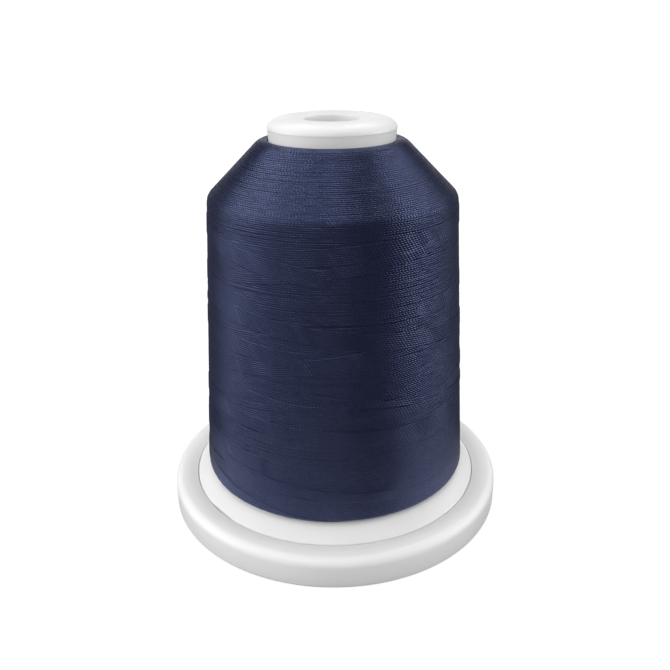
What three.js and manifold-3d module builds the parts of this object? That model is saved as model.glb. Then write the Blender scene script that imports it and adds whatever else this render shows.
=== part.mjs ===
// A small spool of embroidery thread that stands on a pull-open base.
// Millimetres, +Z up. The origin is the centre of the ring that the base stands on.
//
// The spool is one moulding: a slightly conical barrel with a flange at its foot and a
// collar at its top. The thread is wound on the barrel in a package with a sloping shoulder.
// The base is a second moulding. Its hub passes up through the flange and ends in sprung
// hooks, so the base pulls a few millimetres away from the flange. The thread's end is laid
// in the gap, and pushing the base home again holds it.

import * as THREE from 'three';
import { mergeVertices } from 'three/addons/utils/BufferGeometryUtils.js';
import Module from 'manifold-3d';

// ---- driving dimensions ----

const BASE_RADIUS = 25.4;
const OVERALL_HEIGHT = 57.9;
const PIN_BORE_RADIUS = 3.8;

// The base: rim, recess for the flange, and hollow underside.
const RIM_HEIGHT = 4.75;
const RIM_ROUND_WIDTH = 1.6;
const RIM_ROUND_HEIGHT = 2.4;
const RIM_VALLEY_Z = 4.3;
const RIM_EDGE_Z = 4.15;
const RECESS_RADIUS = 22.15;
const RECESS_FLOOR_Z = 2.75;
const WEB_THICKNESS = 1.2;
const FOOT_ROUND = 0.4;
const FOOT_INNER_RADIUS = 23.9;
const RIB_COUNT = 8;
const RIB_THICKNESS = 1.0;
const RIB_SET_BACK = 0.3;

// The hub: a tube slit into sprung fingers that end in hooks.
const HUB_RADIUS = 5.4;
const HUB_FINGER_BORE_RADIUS = 4.2;
const BOSS_RADIUS = 5.6;
const PIN_LEAD_IN = 0.6;
const HOOK_OVERHANG = 0.8;
const HOOK_BAND = 0.6;
const HOOK_TAPER_HEIGHT = 1.6;
const SLIT_WIDTH = 1.2;
const SLIT_FLOOR_Z = 3.6;

// The base opens this far before the hooks meet the flange.
const PULL_TRAVEL = 3.0;
const RUNNING_GAP = 0.3;

// The spool's flange, which rises in a cone from its edge, then the barrel and the collar.
const FLANGE_RADIUS = 21.85;
const FLANGE_THICKNESS = 1.3;
const FLANGE_EDGE_Z = 4.35;
const FLANGE_TOP_Z = 6.15;
const FLANGE_CONE_RADIUS = 17.9;
const FLANGE_EDGE_ROUND = 0.3;
const FLANGE_FLAT_AZIMUTH = -139;
const FLANGE_FLAT_WIDTH = 5.2;
const BARREL_FOOT_RADIUS = 11.4;
const BARREL_TOP_RADIUS = 8.65;
const BARREL_WALL = 1.3;
const COLLAR_BAND_Z = 54.95;
const COLLAR_LIP_Z = 56.7;
const COLLAR_LIP_RADIUS = 8.85;
const COLLAR_FLAT_RADIUS = 6.1;
const COLLAR_THICKNESS = 1.5;
const HOLE_EDGE_ROUND = 0.5;
const NECK_RADIUS = 5.0;
const NECK_DEPTH = 4.0;

// The thread package: undercut foot, tapered side between two rounds, then the shoulder.
const THREAD_DIAMETER = 0.4;
const THREAD_LOOPS = 24;
const THREAD_GAP = 0.3;
const PACKAGE_FOOT_ROUND = 0.9;
const PACKAGE_SHOULDER_ROUND = 1.75;
const PACKAGE_FOOT_CENTRE = new THREE.Vector2(19.06, 7.15);
const PACKAGE_SHOULDER_CENTRE = new THREE.Vector2(15.67, 46.9);
const UNDERCUT_ANGLE = 60;
const SHOULDER_ANGLE = 44.6;
const SHOULDER_END_RADIUS = 10.2;
const END_BEND_RADIUS = 0.35;

// How finely curves are cut into facets.
const RIGID_SIDES = 60;
const CORE_SIDES = 48;
const LOOP_STEPS = 24;
const THREAD_SIDES = 6;
const BEND_STEPS = 3;
const ARC_DIVISIONS = 2;

// ---- materials ----

const whitePlastic = new THREE.MeshStandardMaterial({ color: 0xe9e9e7, roughness: 0.38, metalness: 0 });
const navyThread = new THREE.MeshStandardMaterial({ color: 0x2e365c, roughness: 0.5, metalness: 0 });

// ---- making solids ----

const wasm = await Module();
wasm.setup();

function toManifold(geometry) {
  geometry.deleteAttribute('normal');
  geometry.deleteAttribute('uv');
  const merged = mergeVertices(geometry);
  return new wasm.Manifold(new wasm.Mesh({
    numProp: 3,
    vertProperties: merged.attributes.position.array,
    triVerts: merged.index.array,
  }));
}

function toGeometry(manifold) {
  const mesh = manifold.getMesh();
  const geometry = new THREE.BufferGeometry();
  geometry.setAttribute('position', new THREE.BufferAttribute(mesh.vertProperties, 3));
  geometry.setIndex(new THREE.BufferAttribute(mesh.triVerts, 1));
  geometry.computeVertexNormals();
  return geometry;
}

// Turns a closed outline of (radius, height) points about the Z axis.
function revolve(outline, sides) {
  const geometry = new THREE.LatheGeometry(outline.getPoints(ARC_DIVISIONS), sides);
  return geometry.rotateX(Math.PI / 2);
}

function box(width, depth, bottom, top) {
  const geometry = new THREE.BoxGeometry(width, depth, top - bottom);
  return geometry.translate(0, 0, (bottom + top) / 2);
}

function named(name, geometry, material) {
  const mesh = new THREE.Mesh(geometry, material);
  mesh.name = name;
  return mesh;
}

// ---- the base ----

const WEB_BOTTOM_Z = RECESS_FLOOR_Z - WEB_THICKNESS;
const HOOK_Z = FLANGE_TOP_Z + PULL_TRAVEL + RUNNING_GAP;
const HOOK_TOP_Z = HOOK_Z + HOOK_BAND;
const HUB_TOP_Z = HOOK_TOP_Z + HOOK_TAPER_HEIGHT;

function baseOutline() {
  const crestRadius = BASE_RADIUS - RIM_ROUND_WIDTH;
  const crestCentreZ = RIM_HEIGHT - RIM_ROUND_HEIGHT;
  const valleyRadius = RECESS_RADIUS + FLANGE_EDGE_ROUND;
  const slopeReach = (crestRadius - valleyRadius) / 2;
  const outline = new THREE.Path();
  outline.moveTo(FOOT_INNER_RADIUS, 0);
  outline.lineTo(BASE_RADIUS - FOOT_ROUND, 0);
  outline.absarc(BASE_RADIUS - FOOT_ROUND, FOOT_ROUND, FOOT_ROUND, -Math.PI / 2, 0);
  outline.absellipse(crestRadius, crestCentreZ, RIM_ROUND_WIDTH, RIM_ROUND_HEIGHT, 0, Math.PI / 2);
  outline.bezierCurveTo(
    crestRadius - slopeReach, RIM_HEIGHT,
    valleyRadius + slopeReach, RIM_VALLEY_Z,
    valleyRadius, RIM_VALLEY_Z,
  );
  outline.lineTo(RECESS_RADIUS, RIM_EDGE_Z);
  outline.lineTo(RECESS_RADIUS, RECESS_FLOOR_Z);
  outline.lineTo(HUB_RADIUS, RECESS_FLOOR_Z);
  outline.lineTo(HUB_RADIUS, HOOK_Z);
  outline.lineTo(HUB_RADIUS + HOOK_OVERHANG, HOOK_Z);
  outline.lineTo(HUB_RADIUS + HOOK_OVERHANG, HOOK_TOP_Z);
  outline.lineTo(HUB_RADIUS - RUNNING_GAP, HUB_TOP_Z);
  outline.lineTo(HUB_FINGER_BORE_RADIUS, HUB_TOP_Z);
  outline.lineTo(HUB_FINGER_BORE_RADIUS, SLIT_FLOOR_Z);
  outline.lineTo(PIN_BORE_RADIUS, SLIT_FLOOR_Z);
  outline.lineTo(PIN_BORE_RADIUS, RIB_SET_BACK + PIN_LEAD_IN);
  outline.lineTo(PIN_BORE_RADIUS + PIN_LEAD_IN, RIB_SET_BACK);
  outline.lineTo(BOSS_RADIUS, RIB_SET_BACK);
  outline.lineTo(BOSS_RADIUS, WEB_BOTTOM_Z);
  outline.lineTo(FOOT_INNER_RADIUS, WEB_BOTTOM_Z);
  outline.closePath();
  return outline;
}

// One rib of the underside, reaching from the hub's boss to the foot ring.
function rib(index) {
  const start = (BOSS_RADIUS + PIN_BORE_RADIUS + PIN_LEAD_IN) / 2;
  const end = (FOOT_INNER_RADIUS + BASE_RADIUS) / 2;
  const geometry = box(end - start, RIB_THICKNESS, RIB_SET_BACK, RECESS_FLOOR_Z - WEB_THICKNESS / 2);
  geometry.translate((start + end) / 2, 0, 0);
  geometry.rotateZ((index + 0.5) * 2 * Math.PI / RIB_COUNT);
  return toManifold(geometry);
}

function snapBase() {
  const slitLength = 2 * (HUB_RADIUS + 2 * HOOK_OVERHANG);
  const slitTop = HUB_TOP_Z + RUNNING_GAP;
  let solid = toManifold(revolve(baseOutline(), RIGID_SIDES));
  for (let index = 0; index < RIB_COUNT; index += 1) {
    solid = solid.add(rib(index));
  }
  solid = solid.subtract(toManifold(box(slitLength, SLIT_WIDTH, SLIT_FLOOR_Z, slitTop)));
  solid = solid.subtract(toManifold(box(SLIT_WIDTH, slitLength, SLIT_FLOOR_Z, slitTop)));
  return toGeometry(solid);
}

// ---- the spool moulding ----

function spoolOutline() {
  const domeWidth = COLLAR_LIP_RADIUS - COLLAR_FLAT_RADIUS;
  const domeHeight = OVERALL_HEIGHT - COLLAR_LIP_Z;
  const holeArcRadius = PIN_BORE_RADIUS + HOLE_EDGE_ROUND;
  const holeArcZ = OVERALL_HEIGHT - HOLE_EDGE_ROUND;
  const ceilingZ = OVERALL_HEIGHT - COLLAR_THICKNESS;
  const flangeArcRadius = FLANGE_RADIUS - FLANGE_EDGE_ROUND;
  const flangeArcZ = FLANGE_EDGE_Z - FLANGE_EDGE_ROUND;
  const outline = new THREE.Path();
  outline.moveTo(HUB_RADIUS + RUNNING_GAP, FLANGE_TOP_Z - FLANGE_THICKNESS);
  outline.lineTo(FLANGE_CONE_RADIUS, FLANGE_TOP_Z - FLANGE_THICKNESS);
  outline.lineTo(flangeArcRadius, FLANGE_EDGE_Z - FLANGE_THICKNESS);
  outline.lineTo(FLANGE_RADIUS, FLANGE_EDGE_Z - FLANGE_THICKNESS);
  outline.absarc(flangeArcRadius, flangeArcZ, FLANGE_EDGE_ROUND, 0, Math.PI / 2);
  outline.lineTo(FLANGE_CONE_RADIUS, FLANGE_TOP_Z);
  outline.lineTo(BARREL_FOOT_RADIUS, FLANGE_TOP_Z);
  outline.lineTo(BARREL_TOP_RADIUS, COLLAR_BAND_Z);
  outline.lineTo(COLLAR_LIP_RADIUS, COLLAR_LIP_Z);
  outline.absellipse(COLLAR_FLAT_RADIUS, COLLAR_LIP_Z, domeWidth, domeHeight, 0, Math.PI / 2);
  outline.absarc(holeArcRadius, holeArcZ, HOLE_EDGE_ROUND, Math.PI / 2, Math.PI);
  outline.lineTo(PIN_BORE_RADIUS, OVERALL_HEIGHT - NECK_DEPTH);
  outline.lineTo(NECK_RADIUS, OVERALL_HEIGHT - NECK_DEPTH);
  outline.lineTo(NECK_RADIUS, ceilingZ);
  outline.lineTo(BARREL_TOP_RADIUS - BARREL_WALL, ceilingZ);
  outline.lineTo(BARREL_TOP_RADIUS - BARREL_WALL, COLLAR_BAND_Z);
  outline.lineTo(BARREL_FOOT_RADIUS - BARREL_WALL, FLANGE_TOP_Z);
  outline.lineTo(HUB_RADIUS + RUNNING_GAP, FLANGE_TOP_Z);
  outline.closePath();
  return outline;
}

// The flange's edge is cut off straight over a short stretch.
function flangeFlatCutter() {
  const half = FLANGE_FLAT_WIDTH / 2;
  const distance = Math.sqrt(FLANGE_RADIUS ** 2 - half ** 2);
  const geometry = box(FLANGE_RADIUS, FLANGE_RADIUS, 0, FLANGE_TOP_Z + FLANGE_THICKNESS);
  geometry.translate(distance + FLANGE_RADIUS / 2, 0, 0);
  geometry.rotateZ(THREE.MathUtils.degToRad(FLANGE_FLAT_AZIMUTH));
  return toManifold(geometry);
}

function spoolBarrel() {
  const solid = toManifold(revolve(spoolOutline(), RIGID_SIDES));
  return toGeometry(solid.subtract(flangeFlatCutter()));
}

// ---- the thread ----

// The package's outer outline from foot to shoulder, drawn in by the given depth.
function packageOutline(depth) {
  const foot = PACKAGE_FOOT_CENTRE;
  const shoulder = PACKAGE_SHOULDER_CENTRE;
  const footRound = PACKAGE_FOOT_ROUND - depth;
  const shoulderRound = PACKAGE_SHOULDER_ROUND - depth;
  const run = foot.x + footRound - shoulder.x - shoulderRound;
  const taper = Math.atan2(run, shoulder.y - foot.y);
  const slope = THREE.MathUtils.degToRad(SHOULDER_ANGLE);
  const slopeStart = shoulder.x + shoulderRound * Math.cos(slope);
  const slopeRise = (slopeStart - SHOULDER_END_RADIUS) / Math.tan(slope);
  const outline = new THREE.Path();
  outline.absarc(foot.x, foot.y, footRound, THREE.MathUtils.degToRad(-UNDERCUT_ANGLE), taper);
  outline.absarc(shoulder.x, shoulder.y, shoulderRound, taper, slope);
  outline.lineTo(SHOULDER_END_RADIUS, shoulder.y + shoulderRound * Math.sin(slope) + slopeRise);
  return outline;
}

function threadCore() {
  const outline = packageOutline(THREAD_DIAMETER + THREAD_GAP);
  const top = outline.getPoint(1);
  const bottomZ = FLANGE_TOP_Z + THREAD_GAP;
  const barrelTaper = (BARREL_FOOT_RADIUS - BARREL_TOP_RADIUS) / (COLLAR_BAND_Z - FLANGE_TOP_Z);
  const barrelRadius = (z) => BARREL_FOOT_RADIUS - (z - FLANGE_TOP_Z) * barrelTaper;
  const foot = outline.getPoint(0);
  const undercut = (foot.y - bottomZ) * Math.tan(THREE.MathUtils.degToRad(UNDERCUT_ANGLE));
  outline.lineTo(barrelRadius(top.y) + THREAD_GAP, top.y);
  outline.lineTo(barrelRadius(bottomZ) + THREAD_GAP, bottomZ);
  outline.lineTo(foot.x - undercut, bottomZ);
  outline.closePath();
  return revolve(outline, CORE_SIDES);
}

// The height of the flange's cone at a radius.
function coneZ(radius) {
  const edge = FLANGE_RADIUS - FLANGE_EDGE_ROUND;
  const rise = (FLANGE_TOP_Z - FLANGE_EDGE_Z) / (edge - FLANGE_CONE_RADIUS);
  return FLANGE_EDGE_Z + (edge - radius) * rise;
}

// The outer turns as one thread: up from the flange, round and round, and in to the collar.
function threadPoints() {
  const outline = packageOutline(THREAD_DIAMETER / 2);
  const stepAngle = 2 * Math.PI / LOOP_STEPS;
  const steps = THREAD_LOOPS * LOOP_STEPS;
  const turns = [];
  for (let step = 0; step <= steps; step += 1) {
    const place = outline.getPointAt(step / steps);
    const angle = Math.PI / 2 + step * stepAngle;
    turns.push(new THREE.Vector3(place.x * Math.cos(angle), place.x * Math.sin(angle), place.y));
  }
  const down = new THREE.Vector3(0, 0, -1);
  const inward = turns.at(-1).clone().setZ(0).normalize().negate();
  const footZ = coneZ(outline.getPoint(0).x) + THREAD_GAP;
  const footEnd = endRun(turns[0], turns[1], down, footZ);
  const topEnd = endRun(turns.at(-1), turns.at(-2), inward, BARREL_TOP_RADIUS + THREAD_GAP);
  return [...footEnd.reverse(), ...turns, ...topEnd];
}

// Bends the thread off its last turn towards what it meets, then runs straight to it.
function endRun(last, previous, direction, stop) {
  const onward = last.clone().sub(previous);
  onward.addScaledVector(direction, -onward.dot(direction)).normalize();
  const bend = (angle) => last.clone()
    .addScaledVector(onward, END_BEND_RADIUS * Math.sin(angle))
    .addScaledVector(direction, END_BEND_RADIUS * (1 - Math.cos(angle)));
  const points = [];
  for (let step = 1; step <= BEND_STEPS; step += 1) {
    points.push(bend(step * Math.PI / 2 / BEND_STEPS));
  }
  const corner = points.at(-1);
  const reach = direction.z === 0 ? Math.hypot(corner.x, corner.y) : corner.z;
  points.push(corner.clone().addScaledVector(direction, reach - stop));
  return points;
}

// A closed tube of even thickness through the points, its section carried along unturned.
function threadTube(points) {
  const positions = [];
  const indices = [];
  const across = new THREE.Vector3();
  const along = new THREE.Vector3();
  const upward = new THREE.Vector3();
  const reference = new THREE.Vector3(1, 0, 0);
  const radius = THREAD_DIAMETER / 2;
  points.forEach((point, index) => {
    const before = points[Math.max(index - 1, 0)];
    const after = points[Math.min(index + 1, points.length - 1)];
    along.subVectors(after, before).normalize();
    across.copy(reference).addScaledVector(along, -reference.dot(along)).normalize();
    reference.copy(across);
    upward.crossVectors(along, across);
    for (let side = 0; side < THREAD_SIDES; side += 1) {
      const turn = side * 2 * Math.PI / THREAD_SIDES;
      const corner = point.clone()
        .addScaledVector(across, radius * Math.cos(turn))
        .addScaledVector(upward, radius * Math.sin(turn));
      positions.push(corner.x, corner.y, corner.z);
    }
  });
  for (let ring = 0; ring < points.length - 1; ring += 1) {
    for (let side = 0; side < THREAD_SIDES; side += 1) {
      const next = (side + 1) % THREAD_SIDES;
      const a = ring * THREAD_SIDES + side;
      const b = ring * THREAD_SIDES + next;
      indices.push(a, b, a + THREAD_SIDES, b, b + THREAD_SIDES, a + THREAD_SIDES);
    }
  }
  const lastRing = (points.length - 1) * THREAD_SIDES;
  for (let side = 1; side < THREAD_SIDES - 1; side += 1) {
    indices.push(0, side + 1, side);
    indices.push(lastRing, lastRing + side, lastRing + side + 1);
  }
  const geometry = new THREE.BufferGeometry();
  geometry.setAttribute('position', new THREE.Float32BufferAttribute(positions, 3));
  geometry.setIndex(indices);
  geometry.computeVertexNormals();
  return geometry;
}

// The least clear space between stretches of the thread that are half a turn or more apart.
function leastGap(points) {
  let least = Infinity;
  for (let first = 0; first < points.length; first += 1) {
    for (let second = first + LOOP_STEPS / 2; second < points.length; second += 1) {
      least = Math.min(least, points[first].distanceTo(points[second]));
    }
  }
  return least - THREAD_DIAMETER;
}

function threadOuterLayer() {
  const points = threadPoints();
  console.log(`outer turns of thread: least gap ${leastGap(points).toFixed(2)} mm`);
  return threadTube(points);
}

// ---- assembly ----

const base = new THREE.Group();
base.add(named('snap_base', snapBase(), whitePlastic));

const spool = new THREE.Group();
spool.add(named('spool_barrel', spoolBarrel(), whitePlastic));
spool.add(named('thread_core', threadCore(), navyThread));
spool.add(named('thread_outer_layer', threadOuterLayer(), navyThread));

const spoolOfThread = new THREE.Group();
spoolOfThread.add(base, spool);

export default spoolOfThread;
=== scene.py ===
# %% [markdown]
# # A spool of embroidery thread
#
# The object is small and simple: two white mouldings and one length of navy thread. What makes
# it look real is therefore not the number of parts but three things. The mouldings need soft
# rounded edges, the thread needs real turns that catch the light, and the lamps have to be
# large and soft, because a wound package of thread shows its lamps as upright bands.
#
# The first cell loads the construction model. It gives the sizes and the bodies that move.

# %% Load the construction model
import math

import bmesh
import bpy
import numpy as np
from mathutils import Matrix, Vector


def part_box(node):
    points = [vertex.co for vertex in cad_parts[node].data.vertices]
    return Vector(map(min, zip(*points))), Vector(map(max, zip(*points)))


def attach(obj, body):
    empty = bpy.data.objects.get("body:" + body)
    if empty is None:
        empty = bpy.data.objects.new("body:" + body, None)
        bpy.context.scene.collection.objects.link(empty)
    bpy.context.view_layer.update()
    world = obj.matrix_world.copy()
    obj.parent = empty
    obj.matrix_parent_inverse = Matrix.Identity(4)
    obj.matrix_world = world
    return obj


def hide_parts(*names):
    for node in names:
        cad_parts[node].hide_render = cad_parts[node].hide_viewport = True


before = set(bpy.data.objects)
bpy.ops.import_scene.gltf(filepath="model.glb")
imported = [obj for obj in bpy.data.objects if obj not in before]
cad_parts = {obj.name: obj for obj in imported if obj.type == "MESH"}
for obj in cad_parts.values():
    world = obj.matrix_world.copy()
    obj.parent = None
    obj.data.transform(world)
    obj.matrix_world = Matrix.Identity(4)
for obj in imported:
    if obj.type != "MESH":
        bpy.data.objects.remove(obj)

MM = 0.001
SCENE = bpy.context.scene
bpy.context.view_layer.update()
base_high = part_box("snap_base")[1]
spool_low, spool_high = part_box("spool_barrel")
BASE_RADIUS = base_high.x
HUB_TOP = base_high.z
FLANGE_UNDERSIDE = spool_low.z
FLANGE_RADIUS = spool_high.x
TOP = spool_high.z
print(f"base {2000 * BASE_RADIUS:.1f} mm across, spool {1000 * TOP:.1f} mm high")

# %% [markdown]
# ## The camera
#
# The photograph was taken from close by and from above, which makes the far parts look much
# smaller than the near ones. The tapered package even looks like a straight cylinder, because
# its upper end is nearer to the lens. A long lens from further off could not show that, so the
# distance, height and tilt are those that a fit to the photograph's outlines gave, and the
# focal length is given in pixels of the photograph and turned into millimetres of lens.

# %% Camera
PHOTO_PIXELS = 670
FOCAL_PIXELS = 735.5
SENSOR_MM = 36.0
CAMERA_PLACE = Vector((0.16, -101.94, 70.16)) * MM
CAMERA_TILT = math.radians(23.48)
CAMERA_ROLL = math.radians(-0.47)


def add_camera():
    data = bpy.data.cameras.new("camera")
    data.sensor_width = SENSOR_MM
    data.lens = SENSOR_MM * FOCAL_PIXELS / PHOTO_PIXELS
    data.clip_start = 10 * MM
    camera = bpy.data.objects.new("camera", data)
    camera.rotation_mode = "ZYX"
    camera.rotation_euler = (math.pi / 2 - CAMERA_TILT, 0, CAMERA_ROLL)
    camera.location = CAMERA_PLACE
    SCENE.collection.objects.link(camera)
    SCENE.camera = camera
    return camera


camera = add_camera()
print(f"lens {camera.data.lens:.1f} mm at {1000 * camera.location.length:.0f} mm")

# %% [markdown]
# ## The studio
#
# The object stands on paper with an even light all round it. Low soft boxes on both sides draw
# the two upright bands on the thread. A lamp in front and a wide one overhead light the tops of
# the mouldings, and two small ones behind keep the back from going dull. The paper and the
# backdrop are shown white to the lens. Reflections see them white too, but only where they lie
# behind the object. Elsewhere they see a dark room and dark paper, because pale paper mirrored
# at a grazing angle turns the navy thread grey.

# %% Studio
VIEW = SCENE.view_settings
VIEW.view_transform = "Standard"
AIM = Vector((0, 0, TOP / 2))
FILL_LEVEL = 0.63        # the light from all round, and what reflections see of it
MIRRORED_FILL = 0.02
PAPER_COLOUR = 0.25
MIRRORED_PAPER = 0.08
NEAR_GLOW = 0.8
FAR_GLOW = 1.0
PAPER_SIZE = 40.0
PAPER_REACH = 0.6
BEHIND = (0.93, 0.99)    # where "behind" begins and is full, as a direction and in metres
BEHIND_REACH = (1.0, 2.0)
LAMP_REACH = 0.5
# name, azimuth and elevation in degrees, distance, width and height in metres, watts
LAMPS = [
    ("left_lamp", -81, 12, LAMP_REACH, (0.24, 0.24), 0.92),
    ("left_high_lamp", -100, 52, LAMP_REACH, (0.24, 0.24), 0.15),
    ("right_lamp", 89, 12, LAMP_REACH, (0.26, 0.24), 0.85),
    ("front_lamp", -20, 40, LAMP_REACH, (0.16, 0.24), 0.55),
    ("top_lamp", 0, 90, 2 * LAMP_REACH, (0.9, 0.9), 0.46),
    ("back_left_lamp", -149, 58, LAMP_REACH, (0.12, 0.16), 0.22),
    ("back_right_lamp", 149, 58, LAMP_REACH, (0.12, 0.16), 0.28),
]


def soft_lamp(name, azimuth, elevation, distance, size, watts):
    """A soft box that faces the object. Azimuth 0 is in front of it, and 90 to its right."""
    turn, lift = math.radians(azimuth), math.radians(elevation)
    level = math.cos(lift)
    direction = Vector((math.sin(turn) * level, -math.cos(turn) * level, math.sin(lift)))
    data = bpy.data.lights.new(name, "AREA")
    data.shape = "RECTANGLE"
    data.size, data.size_y = size
    data.energy = watts
    lamp = bpy.data.objects.new(name, data)
    lamp.location = AIM + direction * distance
    lamp.rotation_mode = "QUATERNION"
    lamp.rotation_quaternion = direction.to_track_quat("Z", "Y")
    SCENE.collection.objects.link(lamp)
    return lamp


def math_node(nodes, links, operation, first, second=None):
    """One Math node. An input is another node's output or a plain number."""
    node = nodes.new("ShaderNodeMath")
    node.operation = operation
    for socket, value in zip(node.inputs, (first, second)):
        if isinstance(value, bpy.types.NodeSocket):
            links.new(value, socket)
        elif value is not None:
            socket.default_value = value
    return node.outputs[0]


def ramp(nodes, links, value, start, end, low=0.0, high=1.0):
    """Goes from low to high as the value goes from start to end, and no further."""
    mapped = nodes.new("ShaderNodeMapRange")
    for name, number in (("From Min", start), ("From Max", end), ("To Min", low), ("To Max", high)):
        mapped.inputs[name].default_value = number
    links.new(value, mapped.inputs["Value"])
    return mapped.outputs["Result"]


def place_parts(nodes, links):
    """The three parts of the place on the paper, or of the direction into the surroundings."""
    parts = nodes.new("ShaderNodeSeparateXYZ")
    links.new(nodes.new("ShaderNodeTexCoord").outputs["Object"], parts.inputs[0])
    return parts.outputs


def shown_white(nodes, links, behind):
    """1 where the lens looks, and where a reflection looks at what lies behind the object."""
    path = nodes.new("ShaderNodeLightPath")
    mirrored = math_node(
        nodes, links, "MAXIMUM", path.outputs["Is Glossy Ray"], path.outputs["Is Transmission Ray"],
    )
    mirrored = math_node(nodes, links, "MULTIPLY", mirrored, behind)
    return math_node(nodes, links, "MAXIMUM", path.outputs["Is Camera Ray"], mirrored)


def add_surroundings():
    world = bpy.data.worlds.new("surroundings")
    world.use_nodes = True
    SCENE.world = world
    nodes, links = world.node_tree.nodes, world.node_tree.links
    background = nodes["Background"]
    background.inputs["Color"].default_value = (1, 1, 1, 1)
    behind = ramp(nodes, links, place_parts(nodes, links)["Y"], *BEHIND)
    shown = shown_white(nodes, links, behind)
    path = nodes.new("ShaderNodeLightPath")
    fill = ramp(nodes, links, path.outputs["Is Glossy Ray"], 0, 1, FILL_LEVEL, MIRRORED_FILL)
    links.new(math_node(nodes, links, "MAXIMUM", shown, fill), background.inputs["Strength"])


def add_paper():
    mesh = bmesh.new()
    bmesh.ops.create_grid(mesh, x_segments=1, y_segments=1, size=PAPER_SIZE / 2)
    data = bpy.data.meshes.new("paper")
    mesh.to_mesh(data)
    mesh.free()
    paper = bpy.data.objects.new("paper", data)
    SCENE.collection.objects.link(paper)
    material = bpy.data.materials.new("white_paper")
    material.use_nodes = True
    nodes, links = material.node_tree.nodes, material.node_tree.links
    surface = nodes["Principled BSDF"]
    glossy = nodes.new("ShaderNodeLightPath").outputs["Is Glossy Ray"]
    shade = ramp(nodes, links, glossy, 0, 1, PAPER_COLOUR, MIRRORED_PAPER)
    links.new(shade, surface.inputs["Base Color"])
    surface.inputs["Roughness"].default_value = 1.0
    surface.inputs["Specular IOR Level"].default_value = 0.0
    surface.inputs["Emission Color"].default_value = (1, 1, 1, 1)
    behind = ramp(nodes, links, place_parts(nodes, links)["Y"], *BEHIND_REACH)
    distance = nodes.new("ShaderNodeVectorMath")
    distance.operation = "LENGTH"
    links.new(nodes.new("ShaderNodeTexCoord").outputs["Object"], distance.inputs[0])
    glow = ramp(nodes, links, distance.outputs["Value"], 0, PAPER_REACH, NEAR_GLOW, FAR_GLOW)
    shown = shown_white(nodes, links, behind)
    links.new(math_node(nodes, links, "MULTIPLY", shown, glow), surface.inputs["Emission Strength"])
    data.materials.append(material)
    return paper


add_surroundings()
add_paper()
for lamp_values in LAMPS:
    soft_lamp(*lamp_values)
print(f"{len(LAMPS)} lamps")

# %% [markdown]
# ## Helpers for turned and cut pieces
#
# Both mouldings are round, so each starts as half of its cross-section, drawn as a closed line
# of corners. A vertex bevel rounds each corner by its own amount, and a full spin about the
# upright axis turns the line into a solid. That keeps every edge soft, as moulded edges are.

# %% Turned pieces
TURN_STEPS = 180
CORNER_STEPS = 6
SHARP_ANGLE = math.radians(38)


def curve_corners(centre, size, start, end, count=10):
    """Corners along part of an ellipse, from one angle to another in degrees."""
    angles = [math.radians(start + (end - start) * step / count) for step in range(count + 1)]
    return [(centre[0] + size[0] * math.cos(a), centre[1] + size[1] * math.sin(a), 0) for a in angles]


def turned(corners):
    """A mesh spun about Z from a closed line of (radius, height, rounding) corners."""
    mesh = bmesh.new()
    points = [mesh.verts.new((radius, 0, height)) for radius, height, _ in corners]
    for first, second in zip(points, points[1:] + points[:1]):
        mesh.edges.new((first, second))
    for point, (_, _, rounding) in zip(points, corners):
        if rounding:
            bmesh.ops.bevel(
                mesh, geom=[point], offset=rounding, offset_type="OFFSET", affect="VERTICES",
                segments=CORNER_STEPS, profile=0.5, material=-1,
            )
    bmesh.ops.spin(
        mesh, geom=mesh.verts[:] + mesh.edges[:], cent=(0, 0, 0), axis=(0, 0, 1),
        angle=math.tau, steps=TURN_STEPS, use_merge=True,
    )
    bmesh.ops.recalc_face_normals(mesh, faces=mesh.faces)
    return mesh


def block(size, centre, rounding=0.0, turn=0.0):
    """A box of the given size with softened edges, turned about Z once it is in place."""
    mesh = bmesh.new()
    bmesh.ops.create_cube(mesh, size=1.0)
    bmesh.ops.scale(mesh, vec=size, verts=mesh.verts)
    if rounding:
        bmesh.ops.bevel(
            mesh, geom=mesh.edges[:], offset=rounding, offset_type="OFFSET", affect="EDGES",
            segments=2, profile=0.5, material=-1,
        )
    bmesh.ops.translate(mesh, vec=centre, verts=mesh.verts)
    bmesh.ops.rotate(mesh, cent=(0, 0, 0), matrix=Matrix.Rotation(turn, 3, "Z"), verts=mesh.verts)
    return mesh


def as_object(name, mesh):
    data = bpy.data.meshes.new(name)
    mesh.to_mesh(data)
    mesh.free()
    piece = bpy.data.objects.new(name, data)
    SCENE.collection.objects.link(piece)
    return piece


def baked(piece):
    """Replaces the piece's mesh with what its modifiers make of it."""
    evaluated = piece.evaluated_get(bpy.context.evaluated_depsgraph_get())
    made = bpy.data.meshes.new_from_object(evaluated)
    old = piece.data
    piece.modifiers.clear()
    piece.data = made
    bpy.data.meshes.remove(old)
    made.name = piece.name
    return piece


def combined(piece, tools, operation):
    """Joins the tool meshes to the piece, or cuts them out of it."""
    for tool_mesh in tools:
        tool = as_object("tool", tool_mesh)
        step = piece.modifiers.new("step", "BOOLEAN")
        step.operation = operation
        step.solver = "EXACT"
        step.object = tool
        baked(piece)
        bpy.data.objects.remove(tool)
    return piece


def smooth(piece):
    piece.data.shade_smooth()
    piece.data.set_sharp_from_angle(angle=SHARP_ANGLE)
    return piece


def install(piece, material, slot, body, *nodes):
    """Gives a finished piece its material and its body, and hides the CAD nodes that it stands for."""
    piece.data.materials.clear()
    piece.data.materials.append(material)
    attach(piece, body)
    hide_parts(*nodes)
    triangles = sum(len(face.vertices) - 2 for face in piece.data.polygons)
    print(f"{piece.name}: {triangles} triangles on {body}")
    return piece


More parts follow.
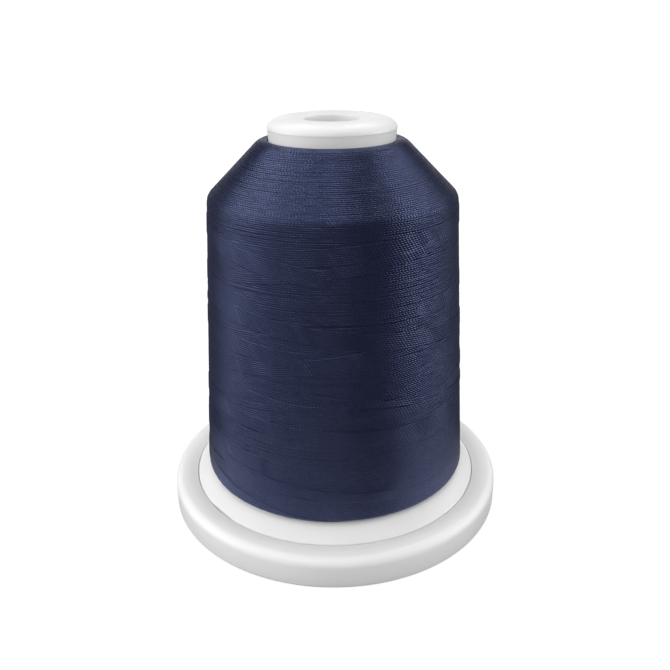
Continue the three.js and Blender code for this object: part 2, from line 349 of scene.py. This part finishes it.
# %% [markdown]
# ## White moulded plastic
#
# The base and the spool are polypropylene: white, satin and a little translucent, so light
# spreads under the surface and edges look soft. Large mouldings are never perfectly even.
# The shared group gives a faint cloudiness in the colour, a slow change of gloss, and a fine
# grain for the light to break on. The pattern reads the object's own coordinates.

# %% The moulded surface group
def new_group(name, inputs, outputs):
    """An empty shader group with the given (name, kind, value) inputs and (name, kind) outputs."""
    group = bpy.data.node_groups.new(name, "ShaderNodeTree")
    for label, kind, value in inputs:
        socket = group.interface.new_socket(label, in_out="INPUT", socket_type=kind)
        if value is not None:
            socket.default_value = value
    for label, kind in outputs:
        group.interface.new_socket(label, in_out="OUTPUT", socket_type=kind)
    return group, group.nodes.new("NodeGroupInput"), group.nodes.new("NodeGroupOutput")


def add_noise(nodes, links, vector, scale, detail=2.0, roughness=0.5):
    texture = nodes.new("ShaderNodeTexNoise")
    texture.inputs["Scale"].default_value = scale
    texture.inputs["Detail"].default_value = detail
    texture.inputs["Roughness"].default_value = roughness
    links.new(vector, texture.inputs["Vector"])
    return texture.outputs["Fac"]


CLOUD_SIZE = 9 * MM
GLOSS_PATCH_SIZE = 4 * MM
GRAIN_SIZE = 0.22 * MM
GRAIN_DEPTH = 0.01 * MM


def moulded_surface():
    group, source, result = new_group(
        "moulded_surface",
        [
            ("Tint", "NodeSocketColor", (0.8, 0.8, 0.8, 1)),
            ("Cloudiness", "NodeSocketFloat", 0.03),
            ("Gloss", "NodeSocketFloat", 0.4),
            ("Grain", "NodeSocketFloat", 0.1),
        ],
        [("Color", "NodeSocketColor"), ("Roughness", "NodeSocketFloat"), ("Normal", "NodeSocketVector")],
    )
    nodes, links = group.nodes, group.links
    place = nodes.new("ShaderNodeTexCoord").outputs["Object"]
    clouds = add_noise(nodes, links, place, 1 / CLOUD_SIZE, 3.0)
    patches = add_noise(nodes, links, place, 1 / GLOSS_PATCH_SIZE)
    grain = add_noise(nodes, links, place, 1 / GRAIN_SIZE, 1.0)
    darkness = math_node(nodes, links, "MULTIPLY", clouds, source.outputs["Cloudiness"])
    brightness = math_node(nodes, links, "SUBTRACT", 1.0, darkness)
    colour = nodes.new("ShaderNodeVectorMath")
    colour.operation = "SCALE"
    links.new(source.outputs["Tint"], colour.inputs[0])
    links.new(brightness, colour.inputs["Scale"])
    change = ramp(nodes, links, patches, 0, 1, -0.05, 0.05)
    roughness = math_node(nodes, links, "ADD", source.outputs["Gloss"], change)
    bump = nodes.new("ShaderNodeBump")
    bump.inputs["Distance"].default_value = GRAIN_DEPTH
    links.new(source.outputs["Grain"], bump.inputs["Strength"])
    links.new(grain, bump.inputs["Height"])
    links.new(colour.outputs[0], result.inputs["Color"])
    links.new(roughness, result.inputs["Roughness"])
    links.new(bump.outputs["Normal"], result.inputs["Normal"])
    return group


MOULDED_SURFACE = moulded_surface()
print(f"group {MOULDED_SURFACE.name}: {len(MOULDED_SURFACE.nodes)} nodes")

# %% The two plastics
PLASTIC_DEPTH = 1.2 * MM
PLASTIC_GLOW = 0.5       # the share of the light that spreads under the surface
PLASTIC_IOR = 1.49
BASE_TINT = (0.89, 0.89, 0.885)
BASE_GLOSS = 0.42
SPOOL_TINT = (0.86, 0.86, 0.855)
SPOOL_GLOSS = 0.37


def white_plastic(name, tint, gloss):
    material = bpy.data.materials.new(name)
    material.use_nodes = True
    nodes, links = material.node_tree.nodes, material.node_tree.links
    surface = nodes["Principled BSDF"]
    group = nodes.new("ShaderNodeGroup")
    group.node_tree = MOULDED_SURFACE
    group.inputs["Tint"].default_value = (*tint, 1)
    group.inputs["Gloss"].default_value = gloss
    links.new(group.outputs["Color"], surface.inputs["Base Color"])
    links.new(group.outputs["Roughness"], surface.inputs["Roughness"])
    links.new(group.outputs["Normal"], surface.inputs["Normal"])
    surface.inputs["IOR"].default_value = PLASTIC_IOR
    surface.inputs["Subsurface Weight"].default_value = PLASTIC_GLOW
    surface.inputs["Subsurface Radius"].default_value = (1.0, 1.0, 1.0)
    surface.inputs["Subsurface Scale"].default_value = PLASTIC_DEPTH
    return material


BASE_PLASTIC = white_plastic("white_base_plastic", BASE_TINT, BASE_GLOSS)
SPOOL_PLASTIC = white_plastic("white_spool_plastic", SPOOL_TINT, SPOOL_GLOSS)
print("two white plastics")

# %% [markdown]
# ## The base
#
# The base is a shallow dish. Its rim stands up round the spool's flange with a soft crest, and
# dips towards the flange, so that the seam lies in a slight valley. Inside, a hub rises through
# the flange. It is slit into four fingers that end in hooks. Underneath, the base is hollow, with
# ribs from the hub to the ring that it stands on. The round form is spun, the ribs are joined
# to it and the slits are cut, because those are the features that are not round. The ribs end a
# little higher than the boss, since a union fails where two faces lie in one plane.

# %% Base sizes
RIM_HEIGHT = 4.5 * MM
RIM_ROUND = (1.25 * MM, 1.3 * MM)
RIM_CREST_WIDTH = 2.2 * MM
RIM_VALLEY = 4.3 * MM
RECESS_RADIUS = FLANGE_RADIUS + 0.1 * MM
RECESS_FLOOR = 2.75 * MM
WEB_UNDERSIDE = 1.55 * MM
FOOT_INNER_RADIUS = 23.9 * MM
PIN_RADIUS = 3.8 * MM
PIN_LEAD_IN = 0.6 * MM
BOSS_RADIUS = 5.6 * MM
BOSS_SET_BACK = 0.3 * MM
RIB_SET_BACK = 0.4 * MM
HUB_RADIUS = 5.4 * MM
FINGER_BORE = 4.2 * MM
HOOK_OVERHANG = 0.8 * MM
HOOK_HEIGHT = 2.2 * MM
SLIT_WIDTH = 1.2 * MM
SLIT_FLOOR = 3.6 * MM
RIB_COUNT = 8
RIB_THICKNESS = 1.0 * MM
JOIN_DEPTH = 0.4 * MM    # how far a rib reaches into what it joins

# %% Model the base
def base_corners():
    """Half of the base's section, as (radius, height, rounding) corners."""
    hook = HUB_TOP - HOOK_HEIGHT
    crest = (BASE_RADIUS - RIM_ROUND[0], RIM_HEIGHT - RIM_ROUND[1])
    return [
        (FOOT_INNER_RADIUS, 0, 0.2 * MM),
        (BASE_RADIUS, 0, 0.4 * MM),
        *curve_corners(crest, RIM_ROUND, 0, 90),
        (BASE_RADIUS - RIM_CREST_WIDTH, RIM_HEIGHT - 0.02 * MM, 0.3 * MM),
        (RECESS_RADIUS + 0.3 * MM, RIM_VALLEY, 0.25 * MM),
        (RECESS_RADIUS, RIM_VALLEY - 0.03 * MM, 0.1 * MM),
        (RECESS_RADIUS, RECESS_FLOOR, 0),
        (HUB_RADIUS, RECESS_FLOOR, 0.2 * MM),
        (HUB_RADIUS, hook, 0.1 * MM),
        (HUB_RADIUS + HOOK_OVERHANG, hook, 0.1 * MM),
        (HUB_RADIUS + HOOK_OVERHANG, hook + 0.6 * MM, 0.2 * MM),
        (HUB_RADIUS - 0.3 * MM, HUB_TOP, 0.15 * MM),
        (FINGER_BORE, HUB_TOP, 0.15 * MM),
        (FINGER_BORE, SLIT_FLOOR, 0),
        (PIN_RADIUS, SLIT_FLOOR, 0.1 * MM),
        (PIN_RADIUS, BOSS_SET_BACK + PIN_LEAD_IN, 0),
        (PIN_RADIUS + PIN_LEAD_IN, BOSS_SET_BACK, 0.1 * MM),
        (BOSS_RADIUS, BOSS_SET_BACK, 0.15 * MM),
        (BOSS_RADIUS, WEB_UNDERSIDE, 0.2 * MM),
        (FOOT_INNER_RADIUS, WEB_UNDERSIDE, 0.3 * MM),
    ]


def ribs():
    start = BOSS_RADIUS - JOIN_DEPTH
    end = FOOT_INNER_RADIUS + JOIN_DEPTH
    height = WEB_UNDERSIDE + JOIN_DEPTH - RIB_SET_BACK
    size = (end - start, RIB_THICKNESS, height)
    centre = ((start + end) / 2, 0, RIB_SET_BACK + height / 2)
    turns = [(index + 0.5) * math.tau / RIB_COUNT for index in range(RIB_COUNT)]
    return [block(size, centre, 0.15 * MM, turn) for turn in turns]


def slits():
    length = 2 * (HUB_RADIUS + 2 * HOOK_OVERHANG)
    height = HUB_TOP - SLIT_FLOOR + 1 * MM
    size = (length, SLIT_WIDTH, height)
    centre = (0, 0, SLIT_FLOOR + height / 2)
    return [block(size, centre), block(size, centre, turn=math.pi / 2)]


base = as_object("base_moulding", turned(base_corners()))
combined(base, ribs(), "UNION")
combined(base, slits(), "DIFFERENCE")
smooth(base)
install(base, BASE_PLASTIC, "base_plastic", "base", "snap_base")

# %% [markdown]
# ## The spool
#
# The spool is one moulding too: a thin conical barrel that the thread hides, a flange at its
# foot and a collar at its top. The collar is the part that the eye meets first. Its lip is a
# little wider than the band below it, its edge is generously rounded, its top dips towards the
# hole, and a short neck hangs down inside. A short stretch of the flange's edge is cut straight.

# %% Spool sizes
FLANGE_THICKNESS = 1.3 * MM
FLANGE_EDGE_TOP = FLANGE_UNDERSIDE + FLANGE_THICKNESS
FLANGE_TOP = 6.15 * MM
FLANGE_CONE_RADIUS = 19.2 * MM
FLANGE_EDGE_ROUND = 0.5 * MM
FLANGE_HOLE = HUB_RADIUS + 0.3 * MM
BARREL_FOOT_RADIUS = 11.4 * MM
BAND_RADIUS = 8.65 * MM
BARREL_WALL = 1.3 * MM
BAND_FOOT = 54.95 * MM
LIP_RADIUS = 8.83 * MM
LIP_DROP = 1.5 * MM
DOME_START = 6.1 * MM
DISH_DEPTH = 0.34 * MM
COLLAR_THICKNESS = 1.5 * MM
NECK_RADIUS = 5.0 * MM
NECK_DEPTH = 4.0 * MM
FLAT_AZIMUTH = math.radians(-139)
FLAT_WIDTH = 5.2 * MM

# %% Model the spool
def collar_corners():
    """The collar's band, the lip a hair wider than it, and the round above the lip."""
    lip = TOP - LIP_DROP
    return [
        (BAND_RADIUS, BAND_FOOT, 0),
        (LIP_RADIUS - 0.06 * MM, lip - 0.1 * MM, 0.05 * MM),
        *curve_corners((DOME_START, lip), (LIP_RADIUS - DOME_START, LIP_DROP), 0, 90),
    ]


def spool_corners():
    """Half of the spool's section, as (radius, height, rounding) corners."""
    ceiling = TOP - COLLAR_THICKNESS
    inner_top = BAND_RADIUS - BARREL_WALL
    return [
        (FLANGE_HOLE, FLANGE_TOP - FLANGE_THICKNESS, 0.1 * MM),
        (FLANGE_CONE_RADIUS, FLANGE_TOP - FLANGE_THICKNESS, 0.5 * MM),
        (FLANGE_RADIUS - FLANGE_EDGE_ROUND, FLANGE_UNDERSIDE, 0.3 * MM),
        (FLANGE_RADIUS, FLANGE_UNDERSIDE, 0.1 * MM),
        (FLANGE_RADIUS, FLANGE_EDGE_TOP, 0.12 * MM),
        (FLANGE_CONE_RADIUS, FLANGE_TOP, 0.8 * MM),
        (BARREL_FOOT_RADIUS, FLANGE_TOP, 0.5 * MM),
        *collar_corners(),
        (PIN_RADIUS + 0.6 * MM, TOP - DISH_DEPTH, 0.7 * MM),
        (PIN_RADIUS, TOP - DISH_DEPTH, 0.2 * MM),
        (PIN_RADIUS, TOP - NECK_DEPTH, 0.2 * MM),
        (NECK_RADIUS, TOP - NECK_DEPTH, 0.2 * MM),
        (NECK_RADIUS, ceiling, 0.2 * MM),
        (inner_top, ceiling, 0.4 * MM),
        (inner_top, BAND_FOOT, 0),
        (BARREL_FOOT_RADIUS - BARREL_WALL, FLANGE_TOP, 0.4 * MM),
        (FLANGE_HOLE, FLANGE_TOP, 0.1 * MM),
    ]


def cut_flat(mesh):
    """Cuts the flange's edge off straight over a short stretch and closes the cut."""
    outward = Vector((math.cos(FLAT_AZIMUTH), math.sin(FLAT_AZIMUTH), 0))
    distance = math.sqrt(FLANGE_RADIUS ** 2 - (FLAT_WIDTH / 2) ** 2)
    cut = bmesh.ops.bisect_plane(
        mesh, geom=mesh.verts[:] + mesh.edges[:] + mesh.faces[:],
        plane_co=outward * distance, plane_no=outward, clear_outer=True,
    )
    rim = [part for part in cut["geom_cut"] if isinstance(part, bmesh.types.BMEdge)]
    bmesh.ops.contextual_create(mesh, geom=rim)
    bmesh.ops.recalc_face_normals(mesh, faces=mesh.faces)
    return mesh


spool = as_object("spool_moulding", cut_flat(turned(spool_corners())))
smooth(spool)
install(spool, SPOOL_PLASTIC, "spool_plastic", "spool", "spool_barrel")

# %% [markdown]
# ## The line of the package
#
# A package of thread has a simple outline: it leaves the flange at a slant, rounds over to a
# long side that tapers as the barrel does, rounds over again and slopes to the collar. The
# outline is kept as evenly spaced points, so that a distance along it says where a turn lies.

# %% Package outline
FOOT_ROUND = 0.6 * MM
FOOT_CENTRE = Vector((19.46, 7.0)) * MM
SHOULDER_ROUND = 1.75 * MM
SHOULDER_CENTRE = Vector((15.77, 46.9)) * MM
NECK_ROUND = 2.0 * MM
NECK_CENTRE = Vector((9.26, 53.05)) * MM
UNDERCUT_ANGLE = math.radians(-60)
FOOT_SEAT = 6.12 * MM
SHOULDER_ANGLE = math.radians(44.6)
OUTLINE_POINTS = 2000
ARC_POINTS = 40


def arc(centre, radius, start, end):
    angles = np.linspace(start, end, ARC_POINTS)
    return np.stack([centre.x + radius * np.cos(angles), centre.y + radius * np.sin(angles)], axis=1)


def package_outline(depth):
    """Evenly spaced (radius, height) points up the package, drawn in by a depth, and their spacing."""
    run = FOOT_CENTRE.x + FOOT_ROUND - SHOULDER_CENTRE.x - SHOULDER_ROUND
    taper = math.atan2(run, SHOULDER_CENTRE.y - FOOT_CENTRE.y)
    foot = arc(FOOT_CENTRE, FOOT_ROUND - depth, UNDERCUT_ANGLE, taper)
    shoulder = arc(SHOULDER_CENTRE, SHOULDER_ROUND - depth, taper, SHOULDER_ANGLE)
    neck = arc(NECK_CENTRE, NECK_ROUND - depth, SHOULDER_ANGLE, math.pi / 2)
    drop = foot[0, 1] - FOOT_SEAT - depth
    start = foot[0] + np.array([drop * math.tan(UNDERCUT_ANGLE), -drop])
    end = [BAND_RADIUS + 0.05 * MM, neck[-1, 1]]
    line = np.concatenate([[start], foot, shoulder, neck, [end]])
    lengths = np.concatenate([[0], np.cumsum(np.hypot(*np.diff(line, axis=0).T))])
    even = np.linspace(0, lengths[-1], OUTLINE_POINTS)
    points = np.stack([np.interp(even, lengths, line[:, side]) for side in (0, 1)], axis=1)
    return points, lengths[-1]


outline, outline_length = package_outline(0)
print(f"outline {1000 * outline_length:.1f} mm, widest {2000 * outline[:, 0].max():.1f} mm")

# %% [markdown]
# ## The bed under the turns
#
# Below the outermost turns lie hundreds more, of which only a dark glimpse shows between two
# threads. They are one solid: a ring round the barrel whose outer side follows the package's
# outline a little deeper. It keeps light from leaking through and closes the package.

# %% Model the bed
BED_DEPTH = 0.3 * MM
BED_POINTS = 70


def barrel_radius(height):
    share = (height - FLANGE_TOP) / (BAND_FOOT - FLANGE_TOP)
    return BARREL_FOOT_RADIUS + min(share, 1.0) * (BAND_RADIUS - BARREL_FOOT_RADIUS)


def bed_corners():
    points, _ = package_outline(BED_DEPTH)
    every = points[:: OUTLINE_POINTS // BED_POINTS]
    corners = [(radius, height, 0) for radius, height in every]
    top, bottom = corners[-1][1], corners[0][1]
    inside = [(barrel_radius(height) + 0.02 * MM, height, 0) for height in (top, bottom)]
    return [corner for corner in corners if corner[0] > inside[0][0]] + inside


# %% [markdown]
# ## The turns of thread
#
# The outermost layer is modelled turn by turn. A flat little ring is the thread's section. The
# Screw modifier winds it round a plain cylinder as one unbroken tube, and the cylinder's wall
# is then bent to the package's outline: the height on the cylinder becomes the distance along
# the outline. On the way the thread gets its irregularities: each turn wanders a little and
# sinks and rises a little, because a thread is neither round nor even.

# %% Winding helpers
CYLINDER_RADIUS = 20 * MM
THREAD_PITCH = 0.28 * MM
THREAD_WIDTH = 0.36 * MM
THREAD_HEIGHT = 0.13 * MM
LAYER_DEPTH = 0.1 * MM
RIDGE_SPACING = 0.46 * MM
PHASE_STEP = 0.38        # how far the twist shifts from one thread of a band to the next
# spacing along the thread and size of each irregularity
SINKING = (9 * MM, 0.006 * MM)
SLOW_WANDER = (60 * MM, 0.022 * MM)
QUICK_WANDER = (7 * MM, 0.008 * MM)
SEED = 7


def thread_section(width, height, sides, count=1):
    """Flat rings for threads side by side, standing at the cylinder's wall in the XZ plane."""
    mesh = bmesh.new()
    for index in range(count):
        ring = bmesh.ops.create_circle(mesh, cap_ends=False, radius=0.5, segments=sides)["verts"]
        upright = Matrix.Rotation(math.pi / 2, 3, "X")
        bmesh.ops.rotate(mesh, cent=(0, 0, 0), matrix=upright, verts=ring)
        bmesh.ops.scale(mesh, vec=(height, 1, width), verts=ring)
        bmesh.ops.translate(mesh, vec=(CYLINDER_RADIUS, 0, index * THREAD_PITCH), verts=ring)
    return mesh


def wound(name, section, angle, rise, steps, turns=1):
    """The section wound round the cylinder by an angle and a rise for each turn, ends closed."""
    piece = as_object(name, section)
    screw = piece.modifiers.new("winding", "SCREW")
    screw.axis = "Z"
    screw.angle = angle
    screw.screw_offset = rise
    screw.iterations = turns
    screw.steps = screw.render_steps = steps
    screw.use_merge_vertices = False
    baked(piece)
    mesh = bmesh.new()
    mesh.from_mesh(piece.data)
    ends = [edge for edge in mesh.edges if edge.is_boundary]
    bmesh.ops.holes_fill(mesh, edges=ends, sides=0)
    bmesh.ops.recalc_face_normals(mesh, faces=mesh.faces)
    mesh.to_mesh(piece.data)
    mesh.free()
    return piece


def wander(run, spacing, size, seed):
    """A smooth random line over the run of the thread, with one new value every spacing."""
    count = int(run.max() / spacing) + 3
    values = np.random.default_rng(seed).normal(0, size, count)
    place = run / spacing
    index = place.astype(int)
    share = place - index
    share = share * share * (3 - 2 * share)
    return values[index] * (1 - share) + values[index + 1] * share


OUTLINE_SCALE = np.linspace(0, outline_length, OUTLINE_POINTS)
SLOPES = np.gradient(outline, axis=0)
SLOPES /= np.hypot(SLOPES[:, 0], SLOPES[:, 1])[:, None]


def on_package(distance, out, angle):
    """Places on the package: a distance along the outline, a height over it and an azimuth."""
    radius = np.interp(distance, OUTLINE_SCALE, outline[:, 0])
    height = np.interp(distance, OUTLINE_SCALE, outline[:, 1])
    radius = radius + np.interp(distance, OUTLINE_SCALE, SLOPES[:, 1]) * out
    height = height - np.interp(distance, OUTLINE_SCALE, SLOPES[:, 0]) * out
    return np.stack([radius * np.cos(angle), radius * np.sin(angle), height], axis=1)


def bend_to_package(piece, sides, turn, along, lift, seed, count=1):
    """Bends a winding on the cylinder to the package, and gives it its twist coordinates.

    Turn, along and lift hold the azimuth, the distance along the outline and the height over
    the layer at each step of the winding.
    """
    data = piece.data
    place = np.empty(len(data.vertices) * 3)
    data.vertices.foreach_get("co", place)
    place = place.reshape(-1, 3)
    rings = np.arange(len(place)) // (sides * count)
    out = np.hypot(place[:, 0], place[:, 1]) - CYLINDER_RADIUS
    rise = (place[-1, 2] - place[sides * count - 1, 2]) / (len(turn) - 1)
    local = place[:, 2] - rings * rise
    radii = np.interp(along, OUTLINE_SCALE, outline[:, 0])
    run = np.concatenate([[0], np.cumsum(radii[1:] * np.abs(np.diff(turn)))])
    raised = lift - LAYER_DEPTH - THREAD_HEIGHT / 2 + wander(run, *SINKING, seed)
    moved = along + wander(run, *SLOW_WANDER, seed + 1) + wander(run, *QUICK_WANDER, seed + 2)
    distance = np.clip(moved[rings] + local, 0, outline_length)
    placed = on_package(distance, out + raised[rings], turn[rings])
    data.vertices.foreach_set("co", placed.ravel())
    twist_coordinates(data, rings, sides, run, count)
    data.update()
    return piece


def twist_coordinates(data, rings, sides, run, count):
    """A UV map: U counts the ridges along the thread, V goes once round it.

    The faces that close the ring hold its first and its last side. There V has to end at 1.
    """
    loops = np.empty(len(data.loops), int)
    data.loops.foreach_get("vertex_index", loops)
    side = loops % sides
    around = side / sides
    starts = np.empty(len(data.polygons), int)
    data.polygons.foreach_get("loop_start", starts)
    owner = np.searchsorted(starts, np.arange(len(loops)), side="right") - 1
    order = np.argsort(starts)
    highest = np.maximum.reduceat(side, starts[order])
    lowest = np.minimum.reduceat(side, starts[order])
    wraps = (highest == sides - 1) & (lowest == 0)
    around = np.where(wraps[owner] & (side == 0), 1.0, around)
    uv = data.uv_layers.new(name="twist")
    phase = loops // sides % count * PHASE_STEP
    pairs = np.stack([run[rings[loops]] / RIDGE_SPACING + phase, around], axis=1)
    uv.data.foreach_set("uv", pairs.ravel())


# %% [markdown]
# ## Navy thread
#
# The thread is polyester: two strands of bright filaments twisted together. Close up each
# strand is a slanted ridge, and a ridge that faces a lamp glitters. The twist reads the UV
# map that was laid along the thread, so it follows every turn. The colour is nearly black blue
# in the grooves, which is painted shade, and a little lighter on the ridges, and fine streaks
# stand for the filaments.
# Much of what the eye sees is a blue sheen, which the turns' own roundness spreads into bands.

# %% The thread's material
FILAMENTS_AROUND = 9.0
STRANDS = 2.0
# The groove colour is painted shade: the twist's grooves are coloured darker than its ridges.
GROOVE_SHADE_NAVY = (0.006, 0.0068, 0.021)
RIDGE_NAVY = (0.0125, 0.0145, 0.043)
BED_NAVY = (0.012, 0.015, 0.038)
THREAD_GLOSS = 0.29
TWIST_DEPTH = 0.06 * MM
TWIST_STRENGTH = 0.6
SHEEN_IOR = 1.85
SHEEN_LEVEL = 0.95
SHEEN_TINT = (0.42, 0.52, 1.0)


def twisted_yarn():
    group, source, result = new_group(
        "twisted_yarn",
        [
            ("Groove Shade Color", "NodeSocketColor", (*GROOVE_SHADE_NAVY, 1)),
            ("Ridge Color", "NodeSocketColor", (*RIDGE_NAVY, 1)),
            ("Gloss", "NodeSocketFloat", THREAD_GLOSS),
        ],
        [("Color", "NodeSocketColor"), ("Roughness", "NodeSocketFloat"), ("Height", "NodeSocketFloat")],
    )
    nodes, links = group.nodes, group.links
    uv = nodes.new("ShaderNodeUVMap")
    uv.uv_map = "twist"
    parts = nodes.new("ShaderNodeSeparateXYZ")
    links.new(uv.outputs["UV"], parts.inputs[0])
    around = math_node(nodes, links, "MULTIPLY", parts.outputs["Y"], STRANDS)
    slant = math_node(nodes, links, "ADD", parts.outputs["X"], around)
    wave = math_node(nodes, links, "SINE", math_node(nodes, links, "MULTIPLY", slant, math.pi))
    ridge = math_node(nodes, links, "ABSOLUTE", wave)
    strands = nodes.new("ShaderNodeCombineXYZ")
    links.new(math_node(nodes, links, "MULTIPLY", slant, 0.4), strands.inputs["X"])
    filament = math_node(nodes, links, "MULTIPLY", parts.outputs["Y"], FILAMENTS_AROUND)
    links.new(filament, strands.inputs["Y"])
    filaments = add_noise(nodes, links, strands.outputs[0], 1.0, 2.0)
    uneven = nodes.new("ShaderNodeCombineXYZ")
    links.new(math_node(nodes, links, "MULTIPLY", parts.outputs["X"], 0.05), uneven.inputs["X"])
    patches = add_noise(nodes, links, uneven.outputs[0], 1.0, 3.0)
    streaks = ramp(nodes, links, filaments, 0, 1, 0.4, 1.4)
    shade = math_node(nodes, links, "MULTIPLY", ridge, streaks)
    unevenness = ramp(nodes, links, patches, 0, 1, 0.6, 1.4)
    groove_shade_and_tone = math_node(nodes, links, "MULTIPLY", shade, unevenness)
    # The mix paints shade into the twist's grooves, varied by random streaks and patches along the
    # thread.
    mix = nodes.new("ShaderNodeMix")
    mix.data_type = "RGBA"
    links.new(groove_shade_and_tone, mix.inputs["Factor"])
    links.new(source.outputs["Groove Shade Color"], mix.inputs["A"])
    links.new(source.outputs["Ridge Color"], mix.inputs["B"])
    change = ramp(nodes, links, filaments, 0, 1, 0.05, -0.05)
    links.new(mix.outputs["Result"], result.inputs["Color"])
    roughness = math_node(nodes, links, "ADD", source.outputs["Gloss"], change)
    links.new(roughness, result.inputs["Roughness"])
    links.new(shade, result.inputs["Height"])
    return group


def thread_material():
    material = bpy.data.materials.new("navy_thread")
    material.use_nodes = True
    nodes, links = material.node_tree.nodes, material.node_tree.links
    surface = nodes["Principled BSDF"]
    group = nodes.new("ShaderNodeGroup")
    group.node_tree = twisted_yarn()
    bump = nodes.new("ShaderNodeBump")
    bump.inputs["Distance"].default_value = TWIST_DEPTH
    bump.inputs["Strength"].default_value = TWIST_STRENGTH
    links.new(group.outputs["Height"], bump.inputs["Height"])
    links.new(group.outputs["Color"], surface.inputs["Base Color"])
    links.new(group.outputs["Roughness"], surface.inputs["Roughness"])
    links.new(bump.outputs["Normal"], surface.inputs["Normal"])
    surface.inputs["IOR"].default_value = SHEEN_IOR
    surface.inputs["Specular IOR Level"].default_value = SHEEN_LEVEL
    surface.inputs["Specular Tint"].default_value = (*SHEEN_TINT, 1)
    return material


def plain_navy():
    """The dark inside of the package, which shows between the turns."""
    material = bpy.data.materials.new("navy_bed")
    material.use_nodes = True
    surface = material.node_tree.nodes["Principled BSDF"]
    surface.inputs["Base Color"].default_value = (*BED_NAVY, 1)
    surface.inputs["Roughness"].default_value = 0.8
    return material


THREAD = thread_material()
print(f"material {THREAD.name}")

# %% Bed
bed = as_object("thread_bed", turned(bed_corners()))
smooth(bed)
install(bed, plain_navy(), "thread", "spool", "thread_core")

# %% Wind the outer turns
TURN_SIDES = 5
TURN_DIVISIONS = 72
turn_count = int(outline_length / THREAD_PITCH) - 1
section = thread_section(THREAD_WIDTH, THREAD_HEIGHT, TURN_SIDES)
turns = wound("thread_turns", section, math.tau, THREAD_PITCH, TURN_DIVISIONS, turn_count)
steps = np.arange(turn_count * TURN_DIVISIONS + 1) / TURN_DIVISIONS
bend_to_package(
    turns, TURN_SIDES, steps * math.tau, THREAD_PITCH * (steps + 0.5), np.zeros(len(steps)), SEED,
)
turns.data.shade_smooth()
install(turns, THREAD, "thread", "spool", "thread_outer_layer")
print(f"{turn_count} turns")

# %% [markdown]
# ## The crossing bands
#
# The winding machine lays the thread up and down the package. Where it turned back, a band of
# a few threads side by side crosses the level turns at a small slant, in one hand or the other,
# and after a part of a turn it dives below the threads that were laid later. The edges of these
# bands draw the thin slanting lines on the package. Each band is a short winding with its own
# width, slant, length and place, all drawn from one seeded list of random numbers.

# %% Lay the crossing bands
BAND_COUNT = 30
BAND_WIDTHS = (3, 9)
BAND_SLANTS = (0.04, 0.15)
BAND_SPANS = (80, 190)
BAND_LIFTS = (0.05 * MM, 0.08 * MM)
BAND_REACH = (0.03, 0.77)
BAND_STEP = math.radians(4)
BAND_DIVE = math.radians(24)
DIVE_DEPTH = 0.3 * MM


def crossing_band(index, chance):
    """One band of threads side by side, slanting one way or the other, its ends sunk."""
    count = int(chance.integers(*BAND_WIDTHS))
    span = math.radians(chance.uniform(*BAND_SPANS))
    hand = 1 if index % 2 else -1
    slant = hand * chance.uniform(*BAND_SLANTS)
    place = (index + chance.uniform(0.1, 0.9)) / BAND_COUNT
    start = outline_length * (BAND_REACH[0] + place * (BAND_REACH[1] - BAND_REACH[0]))
    azimuth = chance.uniform(0, math.tau)
    lift = chance.uniform(*BAND_LIFTS)
    steps = int(span / BAND_STEP)
    share = np.linspace(0, 1, steps + 1)
    radius = np.interp(start, OUTLINE_SCALE, outline[:, 0])
    along = start + slant * radius * span * (share - 0.5)
    edge = np.minimum(share, 1 - share) * span / BAND_DIVE
    sunk = lift - DIVE_DEPTH * np.clip(1 - edge, 0, 1) ** 2
    section = thread_section(THREAD_WIDTH, THREAD_HEIGHT, TURN_SIDES, count)
    band = wound("band", section, span, slant * radius * span, steps)
    turn = azimuth + share * span
    return bend_to_package(band, TURN_SIDES, turn, along, sunk, SEED + 10 * index, count)


chance = np.random.default_rng(SEED)
joined = bmesh.new()
for index in range(BAND_COUNT):
    band = crossing_band(index, chance)
    joined.from_mesh(band.data)
    bpy.data.objects.remove(band)
bands = as_object("crossing_bands", joined)
bands.data.shade_smooth()
install(bands, THREAD, "thread", "spool", "thread_outer_layer")
print(f"{BAND_COUNT} crossing bands")
